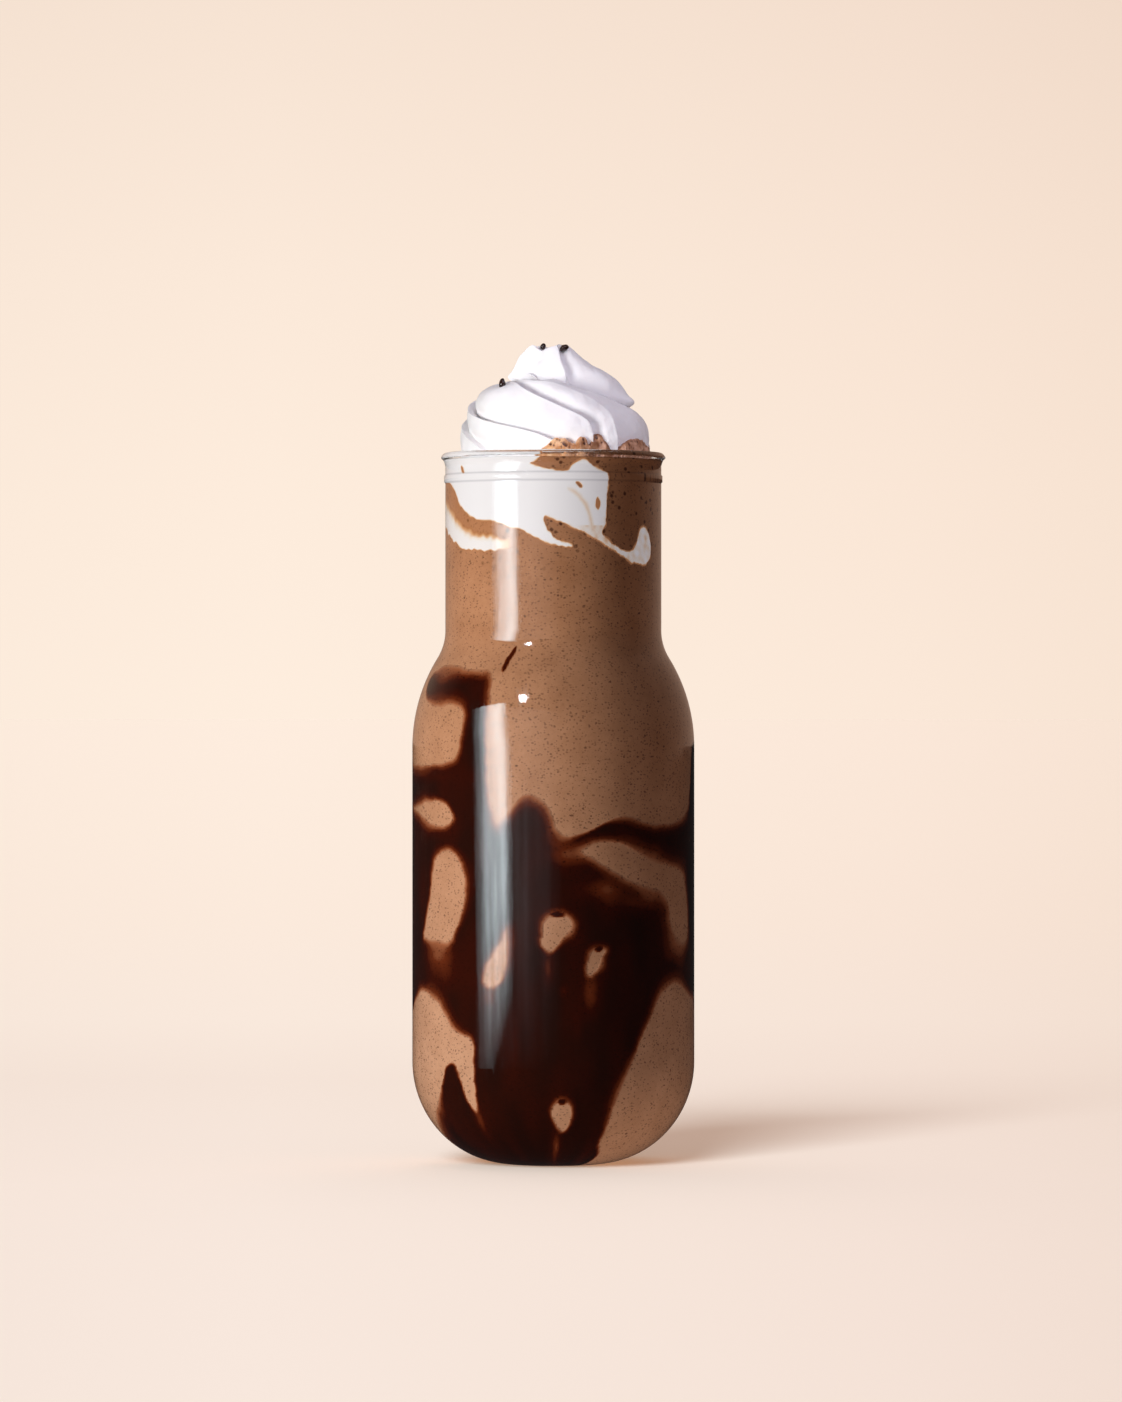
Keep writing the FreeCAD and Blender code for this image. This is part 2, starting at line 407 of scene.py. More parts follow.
def make_drink_material():
    shader = new_shader("milkshake")
    return shader.coat(drink_colour(shader), *behind_glass)


def make_syrup_material():
    """Syrup darkens the drink behind it by its depth: orange-brown when thin, then black."""
    shader = new_shader("chocolate_syrup")
    depth = shader.field("depth")
    clear = shader.ramp(depth, [
        (0, (1, 1, 1)), (0.16, (0.62, 0.4, 0.3)), (0.34, (0.22, 0.075, 0.035)),
        (0.6, (0.055, 0.01, 0.004)), (1, (0, 0, 0)),
    ])
    through = shader.tint(drink_colour(shader), clear)
    own = shader.ramp(depth, [(0.3, (0, 0, 0)), (1, (0.02, 0.0045, 0.0025))])
    return shader.coat(shader.mix(1, through, own, "ADD"), 0.5, 0)


def make_smeared_cream_material():
    """Cream pressed on the glass, with drink run over it: white, orange-brown, then drink."""
    shader = new_shader("cream_on_glass")
    stain = shader.field("stain")
    smear = shader.ramp(stain, [
        (0, (0.94, 0.93, 0.945)), (0.25, (0.9, 0.8, 0.7)),
        (0.5, (0.74, 0.42, 0.21)), (0.75, (0.48, 0.2, 0.08)),
    ])
    colour = shader.mix(shader.fade(stain, 0.7, 0.98), smear, drink_colour(shader))
    return shader.coat(colour, *behind_glass)


def make_cream_material():
    """Whipped cream: nearly white, light passing a little way in, with a fine grain."""
    shader = new_shader("whipped_cream")
    place = shader.place()
    white = shader.ramp(shader.noise(place, 160), [(0.3, (0.9, 0.89, 0.895)),
                                                   (0.7, (0.93, 0.92, 0.92))])
    stain = shader.fade(shader.field("stain"), 0, 1)
    return shader.coat(shader.mix(stain, white, (0.62, 0.36, 0.19)), 0.55, 0.3, {
        "Subsurface Weight": 0.35,
        "Subsurface Radius": (1, 0.9, 0.85),
        "Subsurface Scale": 0.0015,
        "Normal": shader.bump(shader.noise(place, 1500, 4), 0.25),
    })


def make_froth_material():
    """Froth of the drink: orange-brown and wet, with painted shade in the hollows of its bumps and
    in its burst bubbles.
    """
    shader = new_shader("froth")
    tone = shader.field("tone")
    # Painted shade: the same noise raises the bumps and picks the tone, so the froth is lighter on
    # their tops and darker in their hollows
    cloud = shader.noise(shader.place(), 520, 4)
    bright = shader.ramp(tone, [(0, (0.9, 0.56, 0.31)), (0.5, (0.58, 0.29, 0.15)),
                                (1, (0.66, 0.38, 0.25))])
    dark = shader.ramp(tone, [(0, (0.62, 0.27, 0.1)), (0.5, (0.24, 0.09, 0.035)),
                              (1, (0.33, 0.14, 0.07))])
    base = shader.mix(shader.fade(cloud, 0.38, 0.64), dark, bright)
    # Painted shade: the burst bubbles are darkened where they are dented in
    colour = shader.mix(shader.field("pit_shade"), base, (0.1, 0.032, 0.014))
    return shader.coat(colour, 0.32, 0.5, {"Normal": shader.bump(cloud, 0.35)})


def make_drop_material():
    shader = new_shader("syrup_drops")
    colour = shader.ramp(shader.noise(shader.place(), 800), [(0.3, (0.012, 0.005, 0.004)),
                                                             (0.7, (0.03, 0.011, 0.008))])
    return shader.coat(colour, 0.12, 0.6)


def make_glass_material():
    """Clear glass, a little scuffed, with painted shade at the two edges of its ring. Lamps and
    bounced light pass straight through it.
    """
    shader = new_shader("clear_glass")
    place = shader.place()
    tall = shader.add("Mapping", {"Vector": place, "Scale": (1, 1, 0.06)})
    scuff = shader.noise(tall, 1500, 5)
    rough = shader.times(shader.fade(scuff, 0.42, 0.7, 0, 0.2),
                         shader.fade(shader.noise(place, 45, 1), 0.35, 0.6))
    # Painted shade: the two edges of the ring are tinted grey, standing in for the light that they
    # bend away
    from_ring = shader.math("SUBTRACT", shader.part(place, 2), (rim_top - ring_drop) * MM)
    from_edge = shader.math("SUBTRACT", shader.math("ABSOLUTE", from_ring),
                            ring_height / 2 * MM)
    edge = shader.fade(shader.math("ABSOLUTE", from_edge), 0.00012, 0.00038)
    glass = shader.add("BsdfPrincipled", {
        "Base Color": shader.mix(edge, (0.6, 0.6, 0.62), (0.97, 0.975, 0.97)),
        "Roughness": rough,
        "IOR": 1.5,
        "Transmission Weight": 1,
        "Normal": shader.bump(scuff, 0.14, 0.0001),
    })
    clear = shader.add("BsdfTransparent", {"Color": (0.92, 0.92, 0.92, 1)})
    passes = shader.math("MAXIMUM", shader.ray("Shadow"), shader.ray("Diffuse"))
    return shader.finish(shader.add("MixShader", {0: passes, 1: glass, 2: clear}))


# ---- Glass ----
def make_glass():
    """The whole bottle, outside and inside, turned from one profile."""
    half, proud = ring_height / 2, neck_radius + ring_proud
    ring = np.array([
        [neck_radius, -half - ring_bevel], [neck_radius, -half], [proud, ring_bevel - half],
        [proud, 0], [proud, half - ring_bevel], [neck_radius, half],
        [neck_radius, half + ring_bevel],
    ]) + (0, rim_top - ring_drop)
    below = side(0, 0)[:-1]
    up_body = np.linspace(below[-1], ring[0], 12)[1:-1]
    profile = np.vstack([
        [[0, 0], [foot_radius * 0.6, 0]], below, up_body, ring, rim(),
        side(wall, base_thickness)[:-1][::-1], [[0, base_thickness]],
    ])
    points, faces = lathe(profile, 224)
    make_piece("bottle_glass", points, faces, make_glass_material(), "glass", "glass_bottle")


# ---- Drink ----
def make_drink():
    """The drink fills the glass up to its level, crowned a little under the cream."""
    wall_line = spread(inner_line(), 0.8)
    wall_line = wall_line + drink_reach * outwards(wall_line)
    crown = np.array([[24.6, fill_level + 0.1], [16, fill_level + 0.6]])
    profile = np.vstack([
        [[0, base_thickness - drink_reach]], wall_line, crown, [[0, fill_level + 0.8]],
    ])
    points, faces = lathe(profile, 160)
    make_piece("milkshake_body", points, faces, make_drink_material(), "shake", "milkshake")


# ---- Films on the inside of the glass ----
def wall_places(first, last, low, high, spacing):
    """Angles, and (radius, height) and the way outwards at each row, on the inner wall."""
    line = inner_line()
    if high > fill_level:
        line = np.vstack([line, [[line[-1, 0] - 0.9, fill_level + 0.1], [23.6, fill_level + 0.4]]])
    line = spread(line, spacing)
    line = line[(line[:, 1] >= low) & (line[:, 1] <= high)]
    count = round(math.radians(last - first) * (body_radius - wall) / spacing)
    return np.linspace(first, last, count), line, outwards(line)


def make_film(name, material, slot, replaced, extent, spacing, field_of, field, share_of):
    """A thin closed skin on the inner wall where the field says that there is something.

    field_of(angles, heights) gives the field from 0 to 1, and share_of(values) how much of
    the skin is there: at its edges the skin dips under the surface of the drink.
    """
    angles, line, out = wall_places(*extent, spacing)
    angle, height = np.meshgrid(angles, line[:, 1])
    row = np.repeat(np.arange(len(line)), len(angles))
    values = field_of(angle.ravel(), height.ravel())
    share = share_of(values)
    rows, columns = angle.shape
    quads = grid_faces(rows, columns, False)
    quads = quads[(share[quads] > 0.004).any(1)]
    used, quads = np.unique(quads, return_inverse=True)
    quads = quads.reshape(-1, 4)
    turn = np.radians(angle.ravel()[used])
    proud = 0.05 + (film_reach - 0.05) * ease(share[used], 0.004, 0.09)
    layers = []
    for outward in (proud, np.full(len(used), -film_depth)):
        reach, rise = (line[row[used]] + outward[:, None] * out[row[used]]).T
        layers.append(turned(reach, turn, rise))
    count = len(used)
    edges = np.stack([quads, np.roll(quads, -1, 1)], -1).reshape(-1, 2)
    key = np.sort(edges, 1) @ np.array([count, 1])
    _, first, times = np.unique(key, return_index=True, return_counts=True)
    border = edges[first[times == 1]]
    sides = np.stack([border[:, 1], border[:, 0], border[:, 0] + count,
                      border[:, 1] + count], 1)
    faces = np.vstack([quads, quads[:, ::-1] + count, sides])
    fields = {field: np.tile(values[used], 2)}
    make_piece(name, np.vstack(layers), [faces], material, slot, replaced, fields, len(sides))


def flat_places(angle, height):
    """The wall unrolled: millimetres round the body, and height, with a slight wander."""
    turn = np.radians(angle)
    around = (body_radius - wall) * turn
    spots = np.stack([np.sin(turn) * 30, np.cos(turn) * 30, height], -1)
    return np.stack([
        around + 0.14 * waves(spots, 5, 11) + 0.07 * waves(spots, 1.6, 12),
        height + 0.14 * waves(spots, 6, 13) + 0.07 * waves(spots, 1.8, 14),
    ], -1)


def unrolled(outline):
    """A smooth closed outline given as (angle, height), on the unrolled wall."""
    corners = np.asarray(outline, float)
    corners = np.stack([np.radians(corners[:, 0]) * (body_radius - wall), corners[:, 1]], 1)
    return loop_curve(corners)


# The syrup's outline on the front half
syrup_front = [
    (-104, 104), (-84, 103.5), (-62, 103.8), (-46, 105.5), (-42, 111), (-42, 118), (-50, 119.8),
    (-63, 119.4), (-76, 121.6), (-78, 126.4), (-60, 128.6), (-44, 127.6), (-32, 127.2), (-30, 121),
    (-29.5, 112), (-28.5, 98), (-25, 89), (-21.5, 90), (-15, 94.6), (-10, 96.2), (-5, 94.8),
    (-1.5, 91.5), (1.5, 86.8), (6, 85.4), (12, 86.6), (20, 88.8), (30, 90.7), (40, 89), (52, 88.4),
    (66, 89.6), (74, 92.5), (78, 99), (81, 109), (90, 113), (104, 112), (104, 42), (84, 43.2),
    (72, 45.8), (63, 48.2), (56, 47.6), (50, 45), (44, 38.7), (36, 29.9), (30, 22.3), (27.2, 15.8),
    (26.6, 9), (27, 2), (-86, 2), (-84, 8), (-72, 12.5), (-60, 17.5), (-54, 22.5), (-50.5, 26.4),
    (-46, 27.4), (-42.6, 23.5), (-40.5, 18.5), (-37.5, 15.6), (-35.6, 19), (-35.2, 27),
    (-35.6, 33.6), (-42, 35.2), (-47, 37), (-51.5, 40.5), (-57, 43.6), (-68, 45.8), (-78, 43.5),
    (-90, 39), (-104, 38),
]
# Openings in it, each with how soft its edge is in mm
syrup_front_windows = [
    ([(-85, 92.4), (-78, 93.4), (-66, 94.8), (-57, 95), (-50, 93.4), (-46.5, 90.6),
      (-50, 88.6), (-60, 88.4), (-68, 90), (-77, 91.4)], 0.8),
    ([(-50, 82.4), (-57, 80.6), (-60.5, 76.5), (-62.5, 70), (-68, 60.5), (-66, 58.8),
      (-57, 58.6), (-49, 58.4), (-45, 61.4), (-40.4, 67.5), (-39.4, 74.5), (-43.5, 80.6)], 1),
    ([(11.5, 82.2), (15, 84), (20, 84.7), (29, 84.4), (38, 82.3), (45, 80.5), (54, 79.1),
      (64, 77.6), (70, 75.2), (73.5, 68), (74, 60), (69, 57.5), (60, 59.6), (56.4, 63.5),
      (55, 68.2), (50, 70.9), (41, 72.4), (33, 74.4), (25, 77), (17, 79.8)], 1.9),
    ([(-4.6, 61.5), (-3.9, 64.2), (-1.2, 66), (2.5, 66.6), (6, 65.8), (8.4, 63.7),
      (5.8, 61), (2.2, 58.4), (-1.4, 56.4), (-4.4, 57.6), (-5.3, 59.3)], 0.5),
    ([(14.2, 52.6), (15, 55.6), (17.2, 57.4), (20, 57.6), (22.6, 56.9), (20.7, 53.9),
      (17.8, 51.2), (14.9, 50.4)], 0.5),
    ([(-1, 15.3), (0.6, 17.7), (3.8, 18.7), (7, 17.7), (8.6, 15.2), (7.4, 12.6),
      (4.6, 11.2), (1, 12.6)], 0.45),
    ([(-19.6, 62.2), (-22.2, 59.4), (-26, 56), (-29.4, 52.4), (-30.6, 49), (-27, 47.2),
      (-22.6, 48.6), (-19.8, 53), (-19.2, 58)], 0.8),
]
# Places where it is thin: angle, height, half width and half height in mm, and how thin
syrup_front_thin = [
    (-2, 52.5, 1.4, 4.6, 0.55), (15.6, 46, 2.2, 6.4, 0.6), (1.6, 7.6, 1.5, 3.6, 0.66),
    (-27, 45, 2.6, 4, 0.55), (4.5, 46.5, 1, 1.4, 0.4), (7, 61.5, 2.2, 3, 0.45),
    (21.5, 52.5, 1.6, 2.6, 0.45),
    (-37, 14, 1.8, 4.4, 0.6), (-56, 55.5, 6, 4.5, 0.72), (-58, 88, 7, 3, 0.5),
    (-50, 49.5, 9, 4, 0.28), (64, 56.5, 6, 4.5, 0.5), (22, 72.5, 8, 3.6, 0.62),
    (38, 69, 7, 3.4, 0.55), (5.5, 81.5, 5, 3.6, 0.6), (-62, 126, 7, 2.2, 0.42),
    (-45, 128, 7, 1.8, 0.42), (-34, 101, 3.5, 3, 0.25), (10.5, 38, 1.2, 4, 0.25),
    (-9, 94.5, 4.5, 2.4, 0.35), (-16, 33, 1, 5, 0.22), (62, 90, 8, 1.4, 0.4),
    (-63, 101.5, 8, 1.6, 0.35), (72, 51, 5, 4, 0.35),
]
syrup_edge_softness = 1
# How far outside the outline it starts, in edge softnesses
syrup_offset = 0.6

# Small streaks of it apart from the rest
syrup_front_marks = [
    [(-26, 128.2), (-24.6, 127.4), (-22, 130.2), (-19.8, 133.4), (-20.2, 134.4),
     (-22.8, 133.2), (-25, 130.6)],
]

# Bubbles in it: angle, height, half width and half height in mm
syrup_front_bubbles = [(1.6, 66.2, 1.9, 0.75), (19.2, 57.3, 1.2, 0.7), (3.9, 18.4, 1.1, 0.8)]

# The same for the back half, where 180 degrees is the middle of the back
syrup_back = [
    (76, 111), (84, 112), (98, 112), (110, 104), (120, 99.5), (130, 101), (140, 112), (147, 119),
    (153, 112), (160, 99), (170, 93), (181, 91.5), (190, 97), (196, 110), (201, 121), (208, 123),
    (214, 112), (222, 101), (236, 99.5), (252, 102.5), (266, 104), (284, 103.6), (284, 38),
    (266, 38), (250, 33), (236, 26), (227, 15), (223, 2), (140, 2), (137, 14), (128, 24),
    (118, 36), (104, 42), (92, 43), (76, 44),
]
syrup_back_windows = [
    ([(228, 88), (238, 91), (244, 84), (243, 66), (236, 55), (227, 58), (222, 72)], 1.1),
    ([(172, 78), (180, 82), (188, 77), (190, 60), (184, 46), (176, 48), (171, 62)], 1),
    ([(118, 90), (128, 92), (137, 84), (141, 70), (132, 62), (121, 68), (115, 80)], 1),
    ([(156, 52), (161, 54), (165, 50), (161, 44)], 0.6),
    ([(205, 34), (211, 38), (217, 33), (212, 24)], 0.6),
    ([(198, 84), (204, 86), (207, 80), (202, 74)], 0.6),
]
syrup_back_thin = [
    (161, 40, 2, 6, 0.6), (211, 19, 2.2, 5, 0.6), (180, 41, 3, 6, 0.6),
    (202, 69, 2, 6, 0.6), (234, 50, 4, 6, 0.6), (130, 57, 4, 6, 0.55),
    (248, 48, 6, 8, 0.3),
]


def far_from(places, angle, height, half_width, half_height):
    """Distance of places from a middle on the wall, as a share of an oval's half widths."""
    across = (places[:, 0] - math.radians(angle) * (body_radius - wall)) / half_width
    return np.hypot(across, (places[:, 1] - height) / half_height)


def syrup_depth_of(outline, windows, thin, marks=(), bubbles=()):
    """The syrup's depth as a function of place: 0 at its edges, 1 where it is black."""

    def depth(angle, height):
        places = flat_places(angle, height)
        half_round = math.pi * (body_radius - wall)
        folded = np.where(angle > 90, half_round - places[:, 0], places[:, 0])
        spots = np.stack([folded, places[:, 1] * 0.35, np.zeros(len(places))], 1)
        soften = 1 + 0.55 * waves(spots, 16, 21)
        edge = syrup_edge_softness * np.clip(soften, 0.35, 2.2)
        level = inside_depth(places, unrolled(outline)) / edge + syrup_offset
        for window, soft in windows:
            gap = -inside_depth(places, unrolled(window))
            window_edge = soft * np.clip(soften, 0.5, 1.6)
            level = np.minimum(level, gap / window_edge + syrup_offset)
        level = np.clip(level * 0.3, 0, 1)
        for mark in marks:
            level = np.maximum(level, 0.7 * ease(inside_depth(places, unrolled(mark)), -0.1, 0.5))
        streaks = 0.9 + 0.1 * waves(spots, 7, 22)
        level = level * streaks
        for *oval, amount in thin:
            level = level * (1 - amount * np.exp(-far_from(places, *oval) ** 2))
        for oval in bubbles:
            level = np.maximum(level, 0.8 * (1 - ease(far_from(places, *oval), 0.4, 1.3)))
        return np.clip(level, 0, 1)

    return depth


def make_syrup():
    material = make_syrup_material()
    front = syrup_depth_of(syrup_front, syrup_front_windows, syrup_front_thin,
                           syrup_front_marks, syrup_front_bubbles)
    back = syrup_depth_of(syrup_back, syrup_back_windows, syrup_back_thin)
    for name, extent, spacing, depth in (("syrup_front", (-90, 90, 3, 140), 0.5, front),
                                         ("syrup_back", (89.6, 270.4, 3, 140), 0.75, back)):
        make_film(name, material, "syrup", "chocolate_syrup", extent, spacing, depth,
                  "depth", lambda values: values)


# Cream pressed against the glass in the neck
cream_field = [
    (-112, 187), (-60, 188), (-30, 188), (-4, 188), (-6.3, 184.3), (-9.6, 183), (-12.6, 182),
    (-9.4, 181.1), (-3.1, 180.2), (4, 179.4), (8, 179.9), (12, 181.6), (18, 182.9), (24, 180.8),
    (29, 179.7), (32.4, 178.3), (31.4, 174.9), (30.6, 170), (30, 166.4), (28.2, 164.3),
    (31, 162.6), (38, 160.2), (46, 158.8), (51.5, 160.2), (54, 163), (57, 165), (62, 164.9),
    (66.4, 162.3), (67, 159.2), (63, 156.7), (55, 156.2), (45, 157.3), (36, 159.4), (29, 161.2),
    (21, 163.3), (12, 165.4), (4, 166.9), (-4, 168.3), (-5.5, 166.6), (-1, 163.2), (5, 161.4),
    (11, 160.3), (4, 160.5), (-5, 161.9), (-14, 163.8), (-22, 165.4), (-37, 167.2), (-47, 167.8),
    (-55, 169.2), (-63, 171.8), (-68, 174.8), (-75, 177.2), (-86, 178.2), (-112, 178.8),
]
# The paler band below it at the left: angles, and the heights of its foot and its top
cream_band = [(-112, -84, -72, -64, -55, -44, -34, -22),
              (167, 165.2, 162.2, 160.6, 159.6, 159.2, 159.4, 160.4),
              (179, 177.6, 175, 171.6, 168.4, 166.6, 165.8, 164.8)]
cream_behind = [
    (88, 187), (130, 188), (180, 188), (230, 188), (264, 188), (258, 180), (249, 177.4),
    (243, 174.6), (245, 171.8), (252, 170.4), (259, 168.8), (255, 166.2), (245, 165.6), (236, 168),
    (226, 163), (214, 165), (204, 171), (192, 168), (180, 160), (168, 158), (160, 163), (150, 170),
    (138, 172), (126, 168), (112, 171), (100, 178), (90, 182),
]
# Holes and tears in it: an outline, the softness of its edge, and how much drink shows
cream_tears = [
    ([(12.6, 176.7), (14.6, 176.9), (16.6, 175.9), (15.2, 175.4)], 0.25, 1),
    ([(24.2, 171.6), (25.4, 173.1), (27, 171.8), (26, 169.9), (24.8, 170.2)], 0.25, 0.85),
    ([(8, 175.2), (12, 174.9), (17, 172.9), (20.4, 170.7), (21, 168.9), (22.4, 166.4),
      (24.6, 163.6), (22.6, 164), (20.2, 166.6), (18.6, 169.6), (14.4, 172.9)], 0.6, 0.34),
    ([(-61.5, 181.6), (-59, 181.2), (-57.4, 179.6), (-59.6, 179.4)], 0.3, 0.8),
]


def cream_stain(angle, height):
    """How much drink has run over the cream on the glass: 0 is white, 1 is only drink."""
    behind = inside_depth(flat_places(angle % 360, height), unrolled(cream_behind))
    angle = np.where(angle > 180, angle - 360, angle)
    places = flat_places(angle, height)
    spots = np.stack([places[:, 0], places[:, 1], np.zeros(len(places))], 1)
    main = inside_depth(places, unrolled(cream_field))
    rim_of_it = 0.35 + 0.55 * ease(waves(spots, 5, 33), -0.2, 0.8)
    stain = 1 - ease(np.maximum(main, behind), -rim_of_it, 0.3)
    foot, top = np.interp(angle, *cream_band[:2]), np.interp(angle, *cream_band[::2])
    rise = (height + 0.28 * waves(spots, 3.4, 32) - foot) / (top - foot)
    soft = 0.06 + 0.8 * ease(rise, 0.3, 0.74) + 0.5 * ease(angle, -38, -22)
    soft = np.maximum(soft, 1 - ease(rise, -0.02, 0.06))
    soft = np.maximum(soft, ease(angle, -32, -20))
    soft = np.maximum(soft, 1 - ease(angle, -126, -108))
    stain = np.minimum(stain, np.clip(soft, 0, 1))
    for outline, edge, amount in cream_tears:
        hole = ease(inside_depth(places, unrolled(outline)), -edge, edge)
        stain = np.maximum(stain, amount * hole)
    tail = ease(angle, 26, 34) * (1 - ease(angle, 62, 70)) * (height < 168)
    stain = np.maximum(stain, tail * (0.16 + 0.14 * waves(spots, 3, 31)))
    start = ease(angle, 10, 20) * (1 - ease(angle, 34, 46)) * (height < 166)
    stain = np.maximum(stain, start * (0.27 + 0.1 * waves(spots, 2.4, 34)))
    return np.clip(stain, 0, 1)


def make_cream_on_glass():
    material = make_smeared_cream_material()
    for name, extent, spacing in (("cream_on_glass", (-92, 88, 152, 190), 0.32),
                                  ("cream_behind", (87.6, 268.4, 152, 190), 0.6)):
        make_film(name, material, "cream", "whipped_cream", extent, spacing, cream_stain,
                  "stain", lambda values: 1 - values)


# ---- Whipped cream swirl ----
# The lower turn: its heights, radii and sideways shifts, then each ridge's groove depth
# and its angle at every one of the heights
lower_heights = [176, 184, 187, 190, 193, 196, 199, 201.4, 203, 203.8, 204.3]
lower_radii = [24.2, 24.9, 25, 24.7, 23.9, 22.6, 20.7, 18.6, 15.8, 12.5, 8.5]
lower_shifts = [0.3, 0.4, 0.4, 0.4, 0.3, 0, -0.6, -0.6, -0.2, 0, 0]
lower_ridges = [
    (1.9, [-42, -45, -57, -75, -97, -115, -132, -150, -165, -180, -195]),
    (2.8, [16, 8, 0, -16, -48, -80, -105, -125, -145, -160, -175]),
    (3.6, [25, 22, 22, 22, 19, 7, -9.5, -24, -40, -75, -110]),
    (3.8, [38, 39, 39.5, 39.5, 39, 38, 34, 22, 3, -45, -80]),
    (1.1, [92, 84, 78, 71, 64.5, 58.5, 52.5, 45, 36, 20, 0]),
    (1.5, [130, 125, 118, 112, 105, 98, 90, 84, 77, 65, 50]),
    (2.6, [172, 168, 163, 155, 146, 136, 126, 116, 106, 95, 80]),
    (2.8, [218, 214, 208, 200, 190, 178, 165, 152, 140, 128, 112]),
    (2.2, [262, 258, 252, 242, 230, 215, 200, 188, 178, 165, 150]),
]
# The tip, by its level from 0 at its foot to 1 at the top. The foot slants down to the right
tip_height = 13
tip_foot = 200.4
tip_slant = 3.6
tip_levels = [-0.1, 0, 0.1, 0.25, 0.45, 0.57, 0.68, 0.79, 0.92, 1]
tip_radii = [11, 14.6, 15.8, 15, 13.2, 11.4, 9.6, 7.8, 5.9, 4.6]
tip_shifts = [3.4, 3.6, 3.7, 3.8, 3.2, 2, 0.8, -0.1, -0.8, -1]
# How deep it is from front to back beside its width
tip_depths = [0.57, 0.57, 0.57, 0.57, 0.6, 0.65, 0.72, 0.81, 0.92, 1]
tip_ridges = [
    (3.2, [-84, -82, -81, -82, -84, -86, -88, -88, -85, -80]),
    (3.4, [-6, -6, -5, -4.5, -3.5, 0, 4, 10, 17, 21]),
    (3, [76, 77, 78, 80, 80, 79, 77, 74, 72, 72]),
    (3, [168, 166, 164, 160, 156, 153, 150, 148, 146, 145]),
    (3, [232, 230, 228, 225, 222, 220, 218, 216, 215, 214]),
]
# Where the valley lies between a ridge of the tip and the next one
tip_valleys = [0.44, 0.1, 0.12, 0.3, 0.3]
# How far the brim of a crest stands proud, in mm
crest_brim = 0.14


def furrow(radius, start, end, groove, valley):
    """Length of the way from one crest to the next, its depth, valley, and rise's width."""
    length = math.radians((end - start) % 360) * radius
    valley = max(min(1.5, 0.2 * length), valley * length)
    return length, min(groove, 0.34 * length), valley, min(6.6, 0.36 * length)


def ribbed(ridges, radius, grooves, valleys, per_ridge):
    """One level of a swirl: the angle of each point, and how far it stands proud in mm.

    ridges are the angles of the crests. Behind a crest the cream falls away into a valley,
    and then swells out again up to the next crest, which leans over.
    """
    even = np.linspace(0, 1, per_ridge, endpoint=False)
    share = 0.35 * even + 0.65 * (0.5 - 0.5 * np.cos(math.pi * even))
    angles, proud = [], []
    length, deep, valley, width = furrow(radius, ridges[-1], ridges[0], grooves[-1], valleys[-1])
    for k, start in enumerate(ridges):
        before = deep * math.exp(-((length - valley) / width) ** 1.5)
        end = ridges[(k + 1) % len(ridges)]
        length, deep, valley, width = furrow(radius, start, end, grooves[k], valleys[k])
        along = share * length
        fall = np.clip(along / valley, 0, 1)
        fall = ease(fall, 0, 1) if valleys[k] < 0.2 else np.sin(fall * math.pi / 2)
        left = np.exp(-(np.maximum(along - valley, 0) / width) ** 1.5)
        brim = crest_brim * np.exp(-((length - along) / 0.8) ** 2)
        proud.append((crest_brim - before) * (1 - fall) - deep * fall * left + brim)
        lean = min(0.5, 0.08 * length)
        over = lean * (1 - ease(along, 0, 1.8 * lean)) + lean * ease(along, length - 2.4, length)
        angles.append(math.radians(start) + (along + over) / radius)
    return np.concatenate(angles), np.concatenate(proud)


def uneven(points, middle):
    """Soft unevenness of whipped cream, moved out from the swirl's middle."""
    out = unit(points - middle)
    amount = 0.2 * waves(points, 12, 41) + 0.05 * waves(points, 3.6, 42)
    amount = amount + 0.018 * waves(points, 1.1, 43)
    return points + out * amount[:, None]


def make_lower_turn():
    """The wide lower turn, from inside the neck up to where the tip starts."""
    knots = np.array(lower_heights)
    knots = np.concatenate([[0], np.cumsum(np.hypot(np.diff(knots), np.diff(lower_radii)))])
    steps = np.linspace(0, knots[-1], 130)
    heights = flow_curve(knots, lower_heights, steps)
    radii = flow_curve(knots, lower_radii, steps)
    shifts = flow_curve(knots, lower_shifts, steps)
    ridges = np.stack([flow_curve(knots, ridge, steps) for _, ridge in lower_ridges], 1)
    grooves = [groove for groove, _ in lower_ridges]
    slope = outwards(np.stack([radii, heights], 1))
    rows = []
    for i in range(len(steps)):
        angles, proud = ribbed(ridges[i], radii[i], grooves, [0] * len(grooves), 60)
        reach = radii[i] + proud * slope[i, 0]
        sunk = 3.6 * float(ease(heights[i], 193, 204)) * np.clip(np.sin(angles), 0, 1)
        rows.append(turned(reach, angles, heights[i] + proud * slope[i, 1] - sunk))
        rows[-1][:, 0] += shifts[i]
    points = uneven(np.vstack(rows), np.array([0, 0, 188]))
    return close_ends(points, len(rows), len(rows[0]), heights[0], heights[-1] - 1)


